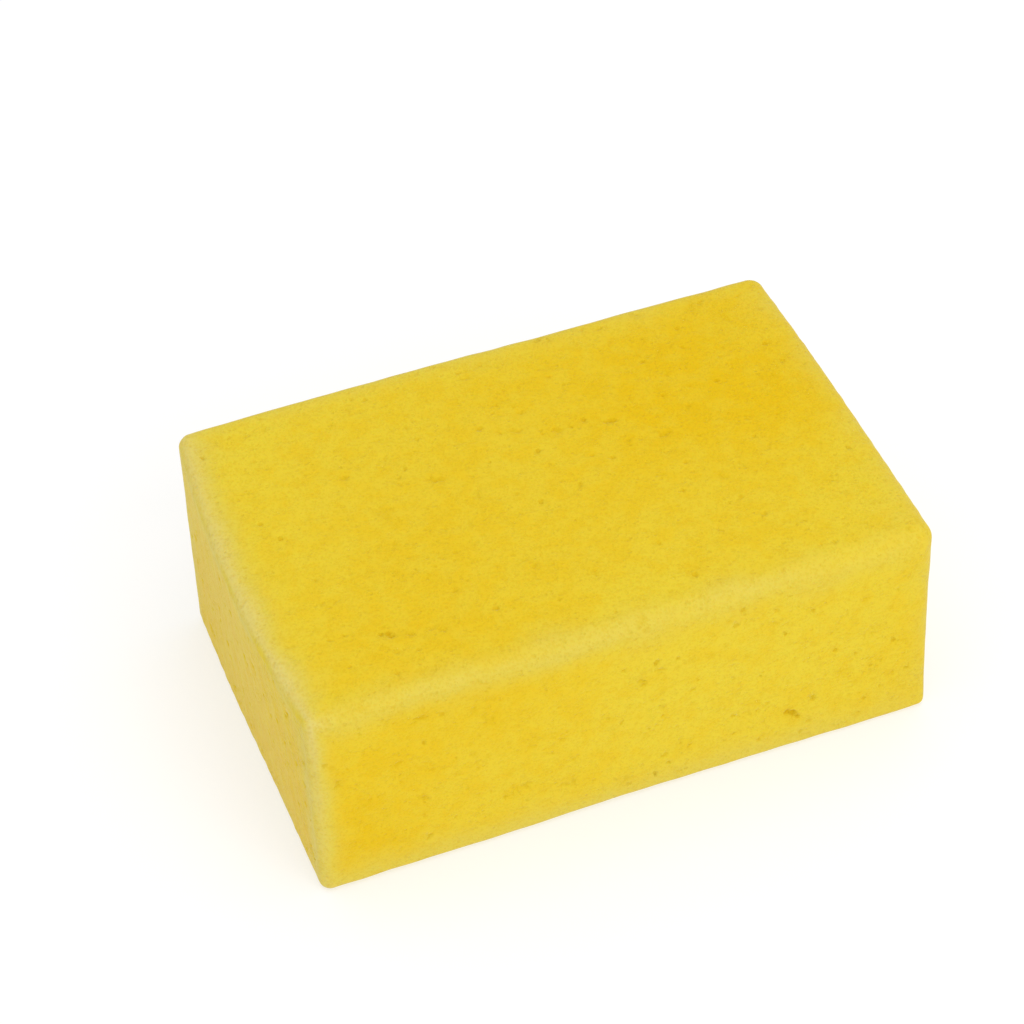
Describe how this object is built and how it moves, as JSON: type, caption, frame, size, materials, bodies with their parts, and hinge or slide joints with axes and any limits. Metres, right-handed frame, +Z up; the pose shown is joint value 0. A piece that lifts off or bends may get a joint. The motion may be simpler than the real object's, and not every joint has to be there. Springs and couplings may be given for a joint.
{
  "type": "grouting sponge",
  "caption": "Rectangular block of soft open-cell foam with rounded edges, held in one hand to wash and smooth the joints of newly laid tiles.",
  "frame": {"origin": "centre of the bottom face, where the sponge rests", "axes": "+X along the length, +Y along the width, +Z up through the thickness, out of the top working face"},
  "size_m": [0.165, 0.11, 0.065],
  "materials": {
    "foam": "matte open-cell foam, warm yellow"
  },
  "bodies": {
    "root": {"foam_block": "foam"}
  },
  "joints": []
}
